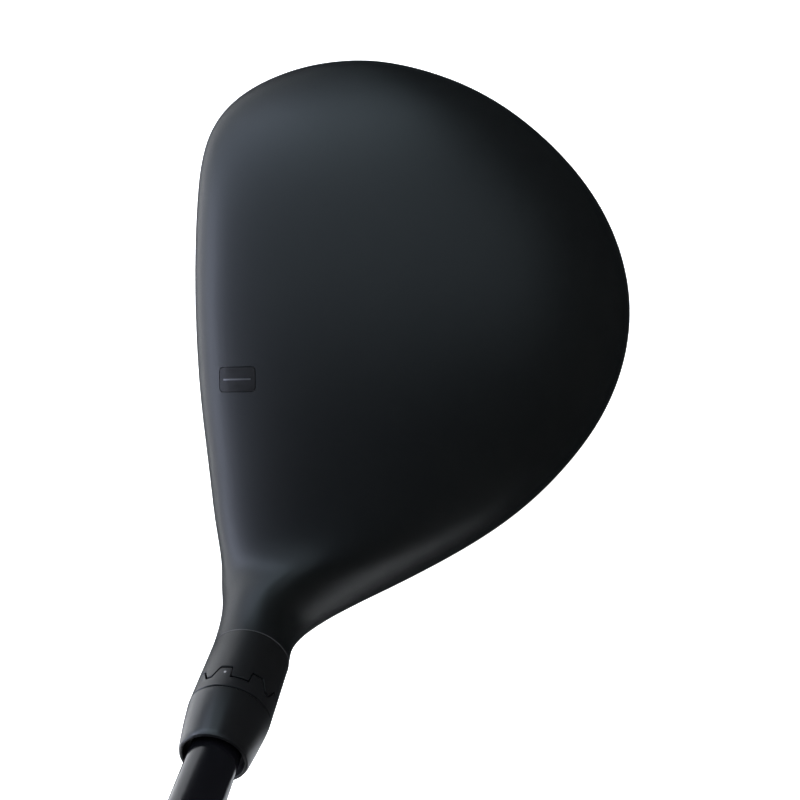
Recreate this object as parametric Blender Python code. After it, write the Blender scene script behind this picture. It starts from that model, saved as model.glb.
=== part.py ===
"""Adjustable fairway wood, modelled as the separate pieces it comes apart into.

Frame: metres, +Z up, origin on the ground under the flat of the sole. The face looks along -Y, the
toe points along -X, and the shaft leans towards +X at the lie angle.

The head is one smooth form. Its sections run from the toe to the top of the hosel, and every shell,
cover, inlay and pocket of the head is a layer of that form between two depths below its surface.
Everything round the shaft is turned about the shaft's axis, with heights measured from the ground.
"""
import math

import bmesh
import bpy
import numpy as np
from mathutils import Matrix, Vector

MM = 0.001

# ---- Driving dimensions -------------------------------------------------------------------------
LIE = math.radians(57.5)  # shaft to ground
LOFT = math.radians(15.0)  # face to upright
AXIS_FOOT = Vector((39.7, -26.65, 0.0)) * MM  # where the shaft's axis meets the ground
CLUB_LENGTH = 1092 * MM  # along the axis, from the ground to the end of the grip

GAP = 0.3 * MM  # clearance between neighbouring pieces
FIT = 0.1 * MM  # clearance between two layers turned on the same sides

HOSEL_RADIUS = 7.15 * MM
HOSEL_TOP = 57.0 * MM
TUBE_START = 46.5 * MM  # height at which the neck has become the round hosel tube
BORE_RADIUS = 5.9 * MM
COLUMN_RADIUS = 7.2 * MM  # the tube that carries the bore down to the sole
COLUMN_TOP = 36.0 * MM
PORT_RADIUS = 5.2 * MM  # wrench port below the hosel screw
SHELF = (18.9 * MM, 22.0 * MM)  # wall in the tube that the hosel screw pulls against
SHELF_HOLE_RADIUS = 2.8 * MM

SLEEVE_RADIUS = 5.6 * MM
SLEEVE_BOTTOM = 24.6 * MM
FLANGE_UNDER = 57.3 * MM
FLANGE_TOP = 59.2 * MM
TEETH = 8
TOOTH_HEIGHT = 1.9 * MM
TOOTH_TOP_ANGLE = math.radians(16)
TOOTH_BASE_ANGLE = math.radians(28)
TOOTH_PHASE = math.radians(3.0)
TOOTH_SIDE_CLEARANCE = math.radians(2.4)

FERRULE_TOP = 68.0 * MM
FERRULE_TOP_RADIUS = 5.9 * MM

SHAFT_TIP = 31.0 * MM
SHAFT_TIP_RADIUS = 4.25 * MM
SHAFT_TAPER = (110 * MM, 900 * MM)
SHAFT_BUTT_RADIUS = 7.6 * MM
SHAFT_BUTT = 1085 * MM
SHAFT_WALL = 1.1 * MM

GRIP_MOUTH = 822 * MM
GRIP_MOUTH_RADIUS = 10.2 * MM
GRIP_END = 1086 * MM
GRIP_END_RADIUS = 13.4 * MM
TAPE_THICKNESS = 0.25 * MM
CAP_RADIUS = 14.0 * MM
VENT_RADIUS = 1.6 * MM

WALL = 1.8 * MM  # shell of the head
COVER = 0.8 * MM  # crown and sole covers
INLAY = 0.3 * MM  # crown mark and sole badge

WEIGHT_RADIUS = 6.0 * MM
WEIGHT_HEIGHT = 3.4 * MM
BOSS_RADIUS = 8.4 * MM
BOSS_HEIGHT = 9.0 * MM
WEIGHT_PORT_DEPTH = 4.0 * MM

ROUND_SIDES = 36
SHAFT_SIDES = 24
TOOTH_RING_SIDES = 80
HEAD_SIDES = 40
HEAD_SECTIONS = 26

# ---- The form of the head -----------------------------------------------------------------------
# Stations run from the toe's tip (0) to the hosel's top (12). Each gives the highest and lowest
# point of its section in the front view (x, z), in mm, and the numbers that shape the section.
FRONT_VIEW_TOP = [
    (-52.5, 18.0), (-52.0, 24.6), (-47.6, 29.8), (-37.7, 34.6), (-22.0, 38.3), (-3.0, 39.6),
    (15.0, 38.7), (29.0, 36.3), (40.3, 33.9), (47.3, 34.3), (52.0, 37.4),
]
FRONT_VIEW_BOTTOM = [
    (-52.5, 18.0), (-52.0, 12.0), (-47.6, 6.5), (-37.7, 2.2), (-22.0, 0.2), (-3.0, -0.25),
    (15.0, 0.1), (30.0, 0.9), (44.0, 2.9), (57.0, 11.6), (64.8, 25.0),
]
CENTRE_Y = [-13.5, -13.0, -11, -9, -8, -8, -9, -11.5, -15, -20, -24.6, -26.65, -26.65]
CENTRE_HEIGHT = [0.5, 0.45, 0.42, 0.41, 0.40, 0.40, 0.40, 0.41, 0.43, 0.46, 0.49, 0.5, 0.5]
REACH_BACK = [0, 8.6, 21.6, 34.2, 45.7, 51.2, 49.1, 41.8, 31.9, 17.2, 6.6, 7.15, 7.15]
REACH_FRONT = [0, 9.6, 30.2, 45.3, 49.6, 49.3, 46.4, 40.6, 32.6, 19.8, 10.2, 7.15, 7.15]
FACE_CUT = [1.33, 1.33, 1.33, 1.33, 1.33, 1.33, 1.33, 1.32, 1.27, 1.1, 0.75, 0.3, 0.0]
ROUNDNESS_TOP = [2.1, 2.15, 2.2, 2.25, 2.3, 2.3, 2.3, 2.3, 2.25, 2.15, 2.05, 2, 2]
ROUNDNESS_BOTTOM = [2.1, 2.3, 2.5, 2.6, 2.7, 2.7, 2.7, 2.6, 2.5, 2.3, 2.1, 2, 2]
EDGE_SHARPNESS = 16  # how tightly the face meets the crown and the sole
LAST_STATION = 12.0
CAVITY_END = 9.5  # station at which the hollow of the head stops, before the neck

# Outlines seen from above (x, y), in mm. A pair is a centre and half sizes.
CROWN_OUTLINE = [
    (-50, -12), (-46, 6), (-37, 20.5), (-24, 31.5), (-8, 38), (8, 37.5), (22, 31.5), (34, 20.5),
    (42, 8), (45, -5), (43, -18), (37, -28), (21, -35), (0, -37), (-20, -36.5), (-36, -32),
    (-45, -24),
]
MARK = ((12.7, -30.9), (3.2, 3.75))
SOLE_COVER = ((-2.0, 12.5), (31.0, 7.0))
BADGE = ((-27.0, -12.0), (6.0, 4.0))
FACE_PLATE = ((0.0, 0.0), (35.0, 11.2))  # across and up the face, from its middle
FACE_MIDDLE = Vector((-6.0, -45.2, 18.5)) * MM
FRONT_WEIGHT_PLACE = Vector((-3.0, -30.5, 0.3)) * MM
REAR_WEIGHT_PLACE = Vector((-3.0, 29.0, 2.4)) * MM
REAR_WEIGHT_TILT = math.radians(14)
CROWN_SPAN = (19 * MM, 60 * MM)  # heights between which the crown is cut
SOLE_SPAN = (-5 * MM, 9 * MM)
CROWN_LEDGE = 4 * MM  # rim that the crown panel sits on

AXIS_TILT = math.pi / 2 - LIE
AXIS = Vector((math.cos(LIE), 0.0, math.sin(LIE)))


def clear_scene():
    for old in list(bpy.data.objects):
        bpy.data.objects.remove(old, do_unlink=True)


def finish_of(name, colour, roughness, metallic=0.0):
    """A plain Principled BSDF material."""
    material = bpy.data.materials.new(name)
    material.use_nodes = True
    shader = material.node_tree.nodes["Principled BSDF"]
    shader.inputs["Base Color"].default_value = (*colour, 1.0)
    shader.inputs["Roughness"].default_value = roughness
    shader.inputs["Metallic"].default_value = metallic
    return material


# ---- Mesh tools ---------------------------------------------------------------------------------
def skin_mesh(name, rings, loop=False):
    """Quads between neighbouring rings of points. A ring of one point is a tip. The skin is closed
    into a loop, or its first and last rings are capped."""
    bm = bmesh.new()
    rows = [[bm.verts.new(point) for point in ring] for ring in rings]
    pairs = list(zip(rows, rows[1:]))
    if loop:
        pairs.append((rows[-1], rows[0]))
    for first, second in pairs:
        count = max(len(first), len(second))
        for i in range(count):
            j = (i + 1) % count
            if len(first) == 1:
                bm.faces.new((first[0], second[j], second[i]))
            elif len(second) == 1:
                bm.faces.new((first[i], first[j], second[0]))
            else:
                bm.faces.new((first[i], first[j], second[j], second[i]))
    if not loop:
        for end in (rows[0], rows[-1]):
            if len(end) > 1:
                bm.faces.new(end)
    bmesh.ops.recalc_face_normals(bm, faces=bm.faces)
    mesh = bpy.data.meshes.new(name)
    bm.to_mesh(mesh)
    bm.free()
    return mesh


def add(name, mesh, material=None, parent=None):
    """Links an object, smooth shaded with sharp corners kept, in its parent's frame."""
    mesh.shade_smooth()
    mesh.set_sharp_from_angle(angle=math.radians(35))
    thing = bpy.data.objects.new(name, mesh)
    bpy.context.scene.collection.objects.link(thing)
    if material:
        mesh.materials.append(material)
    thing.parent = parent
    return thing


def as_cutter(thing):
    thing.hide_render = True
    thing.display_type = "WIRE"
    return thing


def combine(thing, other, operation):
    modifier = thing.modifiers.new(operation.title(), "BOOLEAN")
    modifier.operation = operation
    modifier.object = other
    modifier.solver = "EXACT"


def empty(name, location, rotation=(0, 0, 0), parent=None):
    marker = bpy.data.objects.new(name, None)
    marker.location = location
    marker.rotation_euler = rotation
    bpy.context.scene.collection.objects.link(marker)
    marker.parent = parent
    return marker


def circle(radius, height, sides, phase=0.0):
    turn = 2 * math.pi / sides
    return [
        (radius * math.cos(phase + i * turn), radius * math.sin(phase + i * turn), height)
        for i in range(sides)
    ]


def turned_mesh(name, profile, sides=ROUND_SIDES, loop=False):
    """A solid turned about Z from (radius, height) points, a tip where the radius is 0."""
    rings = [circle(r, z, sides) if r > 0 else [(0.0, 0.0, z)] for r, z in profile]
    return skin_mesh(name, rings, loop)


def prism_mesh(name, outline, low, high):
    """An outline in the XY plane, extruded from z = low to z = high."""
    return skin_mesh(name, [[(x, y, z) for x, y in outline] for z in (low, high)])


def smooth_outline(points, steps):
    """A closed curve through the points, with the given number of steps between neighbours."""
    points = np.array(points) * MM
    before, after, beyond = (np.roll(points, shift, axis=0) for shift in (1, -1, -2))
    curve = []
    for p0, p1, p2, p3 in zip(before, points, after, beyond):
        for t in np.arange(steps) / steps:
            curve.append(
                0.5 * (2 * p1 + (p2 - p0) * t + (2 * p0 - 5 * p1 + 4 * p2 - p3) * t**2
                       + (3 * p1 - p0 - 3 * p2 + p3) * t**3)
            )
    return np.array(curve)


def superellipse(centre, half_size, power, sides):
    """A closed outline between an ellipse (power 2) and a rectangle, from a centre and half sizes in
    mm."""
    angles = np.arange(sides) * 2 * math.pi / sides
    turn = np.stack([np.cos(angles), np.sin(angles)], axis=1)
    shape = np.sign(turn) * np.abs(turn) ** (2 / power)
    return (np.array(centre) + np.array(half_size) * shape) * MM


def grown(outline, distance):
    """A closed outline moved outwards (or inwards) by a distance."""
    along = np.roll(outline, -1, axis=0) - np.roll(outline, 1, axis=0)
    along /= np.linalg.norm(along, axis=1)[:, None]
    across = np.stack([along[:, 1], -along[:, 0]], axis=1)
    middle = outline.mean(axis=0)
    outwards = np.sign(np.sum(across * (outline - middle)))
    return outline + distance * outwards * across


# ---- The head's form ----------------------------------------------------------------------------
def spline(values, flat_start=False):
    """A natural cubic spline through values at stations 0, 1, 2 ..., as a function."""
    values = np.asarray(values, float)
    last = len(values) - 1
    matrix = np.eye(last + 1)
    right = np.zeros(last + 1)
    for i in range(1, last):
        matrix[i, i - 1 : i + 2] = (1, 4, 1)
        right[i] = 6 * (values[i + 1] - 2 * values[i] + values[i - 1])
    if flat_start:
        matrix[0, :2] = (2, 1)
        right[0] = 6 * (values[1] - values[0])
    bend = np.linalg.solve(matrix, right)

    def value(station):
        i = np.clip(np.floor(station).astype(int), 0, last - 1)
        t = station - i
        s = 1 - t
        return (
            s * values[i] + t * values[i + 1]
            + (s**3 - s) * bend[i] / 6 + (t**3 - t) * bend[i + 1] / 6
        )

    return value


def tube_points(side):
    """The last two stations of the front view, on the straight hosel tube."""
    across = Vector((-math.sin(LIE), 0.0, math.cos(LIE))) * HOSEL_RADIUS * side
    points = [AXIS_FOOT + AXIS * height + across for height in (TUBE_START, HOSEL_TOP)]
    return [(p.x / MM, p.z / MM) for p in points]


def front_view(points, side):
    points = points + tube_points(side)
    return [spline([p[k] for p in points], flat_start=True) for k in (0, 1)]


TOP_X, TOP_Z = front_view(FRONT_VIEW_TOP, 1)
BOTTOM_X, BOTTOM_Z = front_view(FRONT_VIEW_BOTTOM, -1)
SECTION = {
    "centre": spline(CENTRE_Y),
    "height": spline(CENTRE_HEIGHT),
    "back": spline(REACH_BACK),
    "front": spline(REACH_FRONT),
    "face": spline(FACE_CUT),
    "top": spline(ROUNDNESS_TOP),
    "bottom": spline(ROUNDNESS_BOTTOM),
}
TINY = 1e-6


def head_points(stations, angles):
    """Points of the head's surface for each station and each angle round its section."""
    stations = np.asarray(stations, float)
    top = np.stack([TOP_X(stations), TOP_Z(stations)])
    bottom = np.stack([BOTTOM_X(stations), BOTTOM_Z(stations)])
    number = {name: value(stations)[:, None] for name, value in SECTION.items()}
    height = np.maximum(np.hypot(*(top - bottom)), TINY)
    upright = ((top - bottom) / height)[:, :, None]
    middle = (bottom + (top - bottom) * number["height"][:, 0])[:, :, None]

    cos, sin = np.cos(angles)[None, :], np.sin(angles)[None, :]
    wide = np.maximum(np.where(cos > 0, number["back"], number["front"]), TINY)
    above = height[:, None] * (1 - number["height"])
    below = height[:, None] * number["height"]
    tall = np.maximum(np.where(sin > 0, above, below), TINY)
    spread = np.hypot(wide * cos, tall * sin)
    cos, sin = wide * cos / spread, tall * sin / spread

    power = np.where(sin > 0, number["top"], number["bottom"])
    reach = (np.abs(cos / wide) ** power + np.abs(sin / tall) ** power) ** (-1 / power)
    towards_face = np.maximum(sin * math.sin(LOFT) - cos * math.cos(LOFT), 0)
    face = towards_face * number["face"] / np.maximum(number["front"], TINY)
    reach = (reach**-EDGE_SHARPNESS + face**EDGE_SHARPNESS) ** (-1 / EDGE_SHARPNESS)

    x = middle[0] + reach * sin * upright[0]
    y = number["centre"] + reach * cos
    z = middle[1] + reach * sin * upright[1]
    return np.stack([x, y, z], axis=-1) * MM


def head_layer_points(stations, angles, depth):
    """The head's surface moved inwards by a depth, its sole kept flat at that height."""
    step = 0.01
    here = head_points(stations, angles)
    along = head_points(stations + step, angles) - head_points(stations - step, angles)
    around = head_points(stations, angles + step) - head_points(stations, angles - step)
    inwards = np.cross(along, around)
    inwards /= np.linalg.norm(inwards, axis=-1)[..., None]
    centre = here.mean(axis=1)[:, None, :]
    inwards *= np.sign(np.sum(inwards * (centre - here), axis=-1))[..., None]
    points = here + inwards * depth
    points[..., 2] = np.maximum(points[..., 2], depth)
    return points


def head_form_mesh(name, depth=0.0, end=LAST_STATION):
    """The closed form of the head at a depth below its surface, from the toe to a station."""
    sections = round(HEAD_SECTIONS * end / LAST_STATION)
    stations = np.linspace(0, 1, sections + 1)[1:] * end
    angles = np.arange(HEAD_SIDES) * 2 * math.pi / HEAD_SIDES
    tip = (FRONT_VIEW_TOP[0][0] * MM + depth, CENTRE_Y[0] * MM, FRONT_VIEW_TOP[0][1] * MM)
    rings = [[tip]] + list(head_layer_points(stations, angles, depth))
    return skin_mesh(name, rings)


def layer(name, outline, span, depths, material, parent):
    """A piece of the head between two depths, inside an outline seen from above. span is the height
    range that picks the crown or the sole."""
    piece = add(name, head_form_mesh(name, depths[0]), material, parent)
    window = as_cutter(add(name + "_window", prism_mesh(name, outline, *span), parent=parent))
    combine(piece, window, "INTERSECT")
    core = as_cutter(add(name + "_core", head_form_mesh(name, depths[1]), parent=parent))
    combine(piece, core, "DIFFERENCE")
    return piece


def pocket(name, outline, span, depth, parent):
    """A cutter that clears the head inside an outline, down to a depth below its surface."""
    cutter = as_cutter(add(name, prism_mesh(name, outline, *span), parent=parent))
    core = as_cutter(add(name + "_core", head_form_mesh(name, depth), parent=parent))
    combine(cutter, core, "DIFFERENCE")
    return cutter


# ---- Pieces turned round the shaft --------------------------------------------------------------
def tooth_height(angle, clearance=0.0):
    """Share of the full tooth height at an angle round the ring, 0 between the teeth."""
    pitch = 2 * math.pi / TEETH
    from_middle = abs((angle - TOOTH_PHASE + pitch / 2) % pitch - pitch / 2)
    top = TOOTH_TOP_ANGLE / 2 + clearance
    base = TOOTH_BASE_ANGLE / 2 + clearance
    return min(max((base - from_middle) / (base - top), 0.0), 1.0)


def toothed_mesh(name, profile, clearance=0.0):
    """A turned ring whose points marked True drop by the height of the teeth."""
    turn = 2 * math.pi / TOOTH_RING_SIDES
    angles = [i * turn for i in range(TOOTH_RING_SIDES)]
    rings = []
    for radius, height, toothed in profile:
        ring = []
        for angle in angles:
            drop = TOOTH_HEIGHT * tooth_height(angle, clearance) if toothed else 0.0
            ring.append((radius * math.cos(angle), radius * math.sin(angle), height - drop))
        rings.append(ring)
    return skin_mesh(name, rings, loop=True)


def make_adapter_sleeve(axis, material):
    thread = 2.6 * MM
    bore = SHAFT_TIP_RADIUS + GAP
    step = SHAFT_TIP - GAP
    lead_in = 0.6 * MM
    profile = [
        (thread, SLEEVE_BOTTOM, False),
        (SLEEVE_RADIUS - lead_in, SLEEVE_BOTTOM, False),
        (SLEEVE_RADIUS, SLEEVE_BOTTOM + lead_in, False),
        (SLEEVE_RADIUS, FLANGE_UNDER, True),
        (HOSEL_RADIUS, FLANGE_UNDER, True),
        (HOSEL_RADIUS, FLANGE_TOP, False),
        (bore, FLANGE_TOP, False),
        (bore, step, False),
        (thread, step, False),
    ]
    return add("adapter_sleeve", toothed_mesh("adapter_sleeve", profile), material, axis)


def make_ferrule(axis, material):
    bore = SHAFT_TIP_RADIUS + GAP
    rim = 0.5 * MM
    recess = 1.4 * MM
    recess_radius = FERRULE_TOP_RADIUS - rim
    bottom = FLANGE_TOP + GAP
    middle = (bottom + FERRULE_TOP) / 2
    bulge = 0.15 * MM
    middle_radius = (HOSEL_RADIUS + FERRULE_TOP_RADIUS) / 2 + bulge
    profile = [
        (bore, bottom),
        (HOSEL_RADIUS, bottom),
        (middle_radius, middle),
        (FERRULE_TOP_RADIUS, FERRULE_TOP - rim),
        (FERRULE_TOP_RADIUS - rim / 2, FERRULE_TOP),
        (recess_radius - rim / 2, FERRULE_TOP),
        (recess_radius - rim, FERRULE_TOP - recess),
        (bore, FERRULE_TOP - recess),
    ]
    return add("ferrule", turned_mesh("ferrule", profile, loop=True), material, axis)


def shaft_radius(height):
    low, high = SHAFT_TAPER
    share = min(max((height - low) / (high - low), 0.0), 1.0)
    return SHAFT_TIP_RADIUS + (SHAFT_BUTT_RADIUS - SHAFT_TIP_RADIUS) * share


def sleeve_round_shaft(inner, outer, start, end, stops):
    """The profile of a tube that follows the shaft's taper, as offsets from its radius."""
    heights = [start] + [h for h in stops if start < h < end] + [end]
    out = [(shaft_radius(h) + outer(h), h) for h in heights]
    back = [(shaft_radius(h) + inner, h) for h in reversed(heights)]
    return out + back


def make_shaft(axis, material):
    profile = sleeve_round_shaft(-SHAFT_WALL, lambda h: 0.0, SHAFT_TIP, SHAFT_BUTT, SHAFT_TAPER)
    return add("shaft", turned_mesh("shaft", profile, SHAFT_SIDES, loop=True), material, axis)


def make_tip_plug(axis, material):
    radius = SHAFT_TIP_RADIUS - SHAFT_WALL - GAP
    length = 6 * MM
    start = SHAFT_TIP + 0.5 * MM
    chamfer = 0.4 * MM
    profile = [
        (0, start),
        (radius, start),
        (radius, start + length - chamfer),
        (radius - chamfer, start + length),
        (0, start + length),
    ]
    return add("tip_plug", turned_mesh("tip_plug", profile, SHAFT_SIDES), material, axis)


def grip_offset(height):
    """How far the grip's surface stands off the shaft at a height."""
    share = (height - GRIP_MOUTH) / (GRIP_END - GRIP_MOUTH)
    radius = GRIP_MOUTH_RADIUS + (GRIP_END_RADIUS - GRIP_MOUTH_RADIUS) * share
    return radius - shaft_radius(height)


def make_grip(axis, tape_material, grip_material, cap_material):
    margin = 4 * MM
    tape = sleeve_round_shaft(
        FIT, lambda h: FIT + TAPE_THICKNESS, GRIP_MOUTH + margin, SHAFT_BUTT - margin, SHAFT_TAPER
    )
    add("grip_tape", turned_mesh("grip_tape", tape, SHAFT_SIDES, loop=True), tape_material, axis)

    lip = 2.5 * MM
    lip_offset = 1.4 * MM
    inner = 2 * FIT + TAPE_THICKNESS

    def outer(height):
        if height <= GRIP_MOUTH:
            return lip_offset
        return grip_offset(height)

    stops = [GRIP_MOUTH + lip, SHAFT_TAPER[1]]
    grip = sleeve_round_shaft(inner, outer, GRIP_MOUTH, GRIP_END, stops)
    add("grip", turned_mesh("grip", grip, SHAFT_SIDES, loop=True), grip_material, axis)

    bottom = GRIP_END + GAP
    round_over = 2.2 * MM
    cap = [
        (VENT_RADIUS, bottom),
        (GRIP_END_RADIUS, bottom),
        (CAP_RADIUS, bottom + round_over / 2),
        (CAP_RADIUS, CLUB_LENGTH - round_over),
        (CAP_RADIUS - round_over / 3, CLUB_LENGTH - round_over / 3),
        (CAP_RADIUS - round_over, CLUB_LENGTH),
        (VENT_RADIUS, CLUB_LENGTH),
    ]
    add("grip_cap", turned_mesh("grip_cap", cap, loop=True), cap_material, axis)


# ---- Hosel screw --------------------------------------------------------------------------------
def hex_socket(name, across_flats, low, high, parent):
    """A cutter for a hexagon socket."""
    radius = across_flats / math.sqrt(3)
    mesh = skin_mesh(name, [circle(radius, z, 6) for z in (low, high)])
    return as_cutter(add(name, mesh, parent=parent))


def make_hosel_screw(axis, steel, seat_material, clip_material):
    shelf_low, shelf_high = SHELF
    washer = (shelf_low - GAP - 0.8 * MM, shelf_low - GAP)
    head = (washer[0] - GAP - 4.0 * MM, washer[0] - GAP)
    head_radius = 4.1 * MM
    chamfer = 0.5 * MM
    shank = 2.3 * MM
    tip = 30.0 * MM
    profile = [
        (0, head[0]),
        (head_radius - chamfer, head[0]),
        (head_radius, head[0] + chamfer),
        (head_radius, head[1]),
        (shank, head[1]),
        (shank, tip - chamfer),
        (shank - chamfer, tip),
        (0, tip),
    ]
    screw = add("hosel_screw", turned_mesh("hosel_screw", profile, SHAFT_SIDES), steel, axis)
    socket_depth = 2.6 * MM
    socket = hex_socket("hosel_screw_socket", 4 * MM, head[0] - MM, head[0] + socket_depth, axis)
    combine(screw, socket, "DIFFERENCE")

    ring_inner = shank + GAP
    seat = [(ring_inner, washer[0]), (4.4 * MM, washer[0]), (4.4 * MM, washer[1]),
            (ring_inner, washer[1])]
    add("screw_washer", turned_mesh("screw_washer", seat, SHAFT_SIDES, loop=True), seat_material, axis)
    clip_low = shelf_high + GAP
    clip_high = clip_low + 1.0 * MM
    clip = [(ring_inner, clip_low), (4.0 * MM, clip_low), (4.0 * MM, clip_high),
            (ring_inner, clip_high)]
    add("screw_retainer", turned_mesh("screw_retainer", clip, SHAFT_SIDES, loop=True), clip_material,
        axis)


# ---- Sole weights -------------------------------------------------------------------------------
def make_weight(name, place, weight_material, steel, nut_material):
    """A round weight in its port, the screw that holds it and the nut that the screw runs in. The
    place is an empty on the sole with its Z pointing into the head."""
    face = 0.3 * MM
    top = face + WEIGHT_HEIGHT
    hole = 2.2 * MM
    recess_radius = 3.8 * MM
    recess = face + 1.9 * MM
    bevel = 0.5 * MM
    weight = [
        (hole, recess),
        (recess_radius, recess),
        (recess_radius, face),
        (WEIGHT_RADIUS - bevel, face),
        (WEIGHT_RADIUS, face + bevel),
        (WEIGHT_RADIUS, top),
        (hole, top),
    ]
    add(name, turned_mesh(name, weight, loop=True), weight_material, place)

    shank = 1.8 * MM
    head_radius = 3.4 * MM
    head_low = face + 0.2 * MM
    head_high = recess - GAP
    tip = BOSS_HEIGHT - 0.8 * MM
    screw = [
        (0, head_low),
        (head_radius, head_low),
        (head_radius, head_high),
        (shank, head_high),
        (shank, tip),
        (0, tip),
    ]
    screw_name = name + "_screw"
    body = add(screw_name, turned_mesh(screw_name, screw, SHAFT_SIDES), steel, place)
    socket = hex_socket(screw_name + "_socket", 2.5 * MM, head_low - MM, head_low + MM, place)
    combine(body, socket, "DIFFERENCE")

    nut_low = WEIGHT_PORT_DEPTH + GAP
    nut_high = BOSS_HEIGHT
    nut_radius = 3.2 * MM
    nut_bore = shank + GAP
    nut = [(nut_bore, nut_low), (nut_radius, nut_low), (nut_radius, nut_high), (nut_bore, nut_high)]
    nut_name = name + "_nut"
    add(nut_name, turned_mesh(nut_name, nut, SHAFT_SIDES, loop=True), nut_material, place)
    return nut_radius + GAP


def cylinder(name, radius, low, high, parent, sides=ROUND_SIDES):
    mesh = turned_mesh(name, [(radius, low), (radius, high)], sides)
    return as_cutter(add(name, mesh, parent=parent))


# ---- Head ---------------------------------------------------------------------------------------
def face_frame(parent):
    """An empty in the middle of the face, its Z along the face's outward normal and its Y up the
    face."""
    place = empty("face_middle", FACE_MIDDLE, parent=parent)
    outward = Vector((0, -math.cos(LOFT), math.sin(LOFT)))
    up = Vector((0, math.sin(LOFT), math.cos(LOFT)))
    across = up.cross(outward)
    place.rotation_euler = Matrix((across, up, outward)).transposed().to_euler()
    return place


def make_head(materials, head, axis, weights):
    crown_outline = smooth_outline(CROWN_OUTLINE, 4)
    sole_outline = superellipse(*SOLE_COVER, 4, 48)
    mark_outline = superellipse(*MARK, 6, 24)
    badge_outline = superellipse(*BADGE, 2.5, 32)

    panel = layer("crown_panel", grown(crown_outline, -GAP / 2), CROWN_SPAN, (0, COVER),
                  materials["crown"], head)
    layer("sole_panel", grown(sole_outline, -GAP / 2), SOLE_SPAN, (0, COVER),
          materials["cover"], head)
    layer("crown_mark", grown(mark_outline, -GAP / 2), CROWN_SPAN, (0, INLAY),
          materials["mark"], head)
    layer("sole_badge", grown(badge_outline, -GAP / 2), SOLE_SPAN, (0, INLAY),
          materials["badge"], head)
    combine(panel, pocket("mark_pocket", grown(mark_outline, GAP / 2), CROWN_SPAN, INLAY + GAP / 2,
                          head), "DIFFERENCE")

    body = add("head_body", head_form_mesh("head_body"), materials["steel_black"], head)
    cavity = as_cutter(add("cavity", head_form_mesh("cavity", WALL, CAVITY_END), parent=head))
    combine(body, cavity, "DIFFERENCE")
    column = cylinder("hosel_column", COLUMN_RADIUS, 6 * MM, COLUMN_TOP, axis)
    trim = as_cutter(add("column_trim", head_form_mesh("column_trim", WALL / 2), parent=head))
    combine(column, trim, "INTERSECT")
    combine(body, column, "UNION")
    for place in weights:
        boss = cylinder(place.name + "_boss", BOSS_RADIUS, 1.0 * MM, BOSS_HEIGHT, place)
        combine(body, boss, "UNION")

    window = grown(crown_outline, -CROWN_LEDGE)
    combine(body, pocket("crown_pocket", grown(crown_outline, GAP / 2), CROWN_SPAN, COVER + GAP,
                         head), "DIFFERENCE")
    crown_window = as_cutter(add("crown_window", prism_mesh("crown_window", window, *CROWN_SPAN),
                                 parent=head))
    combine(body, crown_window, "DIFFERENCE")
    for name, outline, depth in (("sole_pocket", sole_outline, COVER),
                                 ("badge_pocket", badge_outline, INLAY)):
        combine(body, pocket(name, grown(outline, GAP / 2), SOLE_SPAN, depth + GAP, head),
                "DIFFERENCE")
    return body


def cut_hosel(body, axis):
    """The wrench port, the screw's shelf hole, the sleeve's bore and the notches in the hosel's rim."""
    beyond = 20 * MM
    combine(body, cylinder("wrench_port", PORT_RADIUS, -beyond, SHELF[0], axis), "DIFFERENCE")
    combine(body, cylinder("shelf_hole", SHELF_HOLE_RADIUS, SHELF[0] - MM, SHELF[1] + MM, axis),
            "DIFFERENCE")
    combine(body, cylinder("sleeve_bore", BORE_RADIUS, SHELF[1], HOSEL_TOP + MM, axis),
            "DIFFERENCE")
    inside = BORE_RADIUS - MM
    outside = HOSEL_RADIUS + MM
    above = HOSEL_TOP + 3 * MM
    notch = [
        (inside, HOSEL_TOP - GAP / 3, True),
        (outside, HOSEL_TOP - GAP / 3, True),
        (outside, above, False),
        (inside, above, False),
    ]
    notches = toothed_mesh("hosel_notches", notch, TOOTH_SIDE_CLEARANCE)
    combine(body, as_cutter(add("hosel_notches", notches, parent=axis)), "DIFFERENCE")


def make_face_insert(materials, body, face):
    """The hitting plate, and its opening in the body."""
    outline = superellipse(*FACE_PLATE, 2.8, 48)
    span = (-6.4 * MM, 8 * MM)
    insert = add("face_insert", head_form_mesh("face_insert"), materials["face"], face.parent)
    keep = as_cutter(add("face_keep", prism_mesh("face_keep", grown(outline, -GAP / 2), *span),
                         parent=face))
    core = as_cutter(add("face_core", head_form_mesh("face_core", WALL), parent=face.parent))
    combine(insert, keep, "INTERSECT")
    combine(insert, core, "DIFFERENCE")
    opening = as_cutter(add("face_opening", prism_mesh("face_opening", grown(outline, GAP / 2), *span),
                            parent=face))
    combine(body, opening, "DIFFERENCE")


def make_bridge_weight(material, parent):
    """The bar inside the head that spans the sole on two feet."""
    low, under, top = 3.6 * MM, 5.2 * MM, 9.4 * MM
    left, right, foot = -31 * MM, 24 * MM, 9 * MM
    front, back = -16 * MM, -5 * MM
    outline = [(left, low), (left + foot, low), (left + foot, under), (right - foot, under),
               (right - foot, low), (right, low), (right, top), (left, top)]
    rings = [[(x, y, z) for x, z in outline] for y in (front, back)]
    bar = add("bridge_weight", skin_mesh("bridge_weight", rings), material, parent)
    bevel = bar.modifiers.new("Bevel", "BEVEL")
    bevel.width = 0.7 * MM
    bevel.segments = 1


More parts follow.
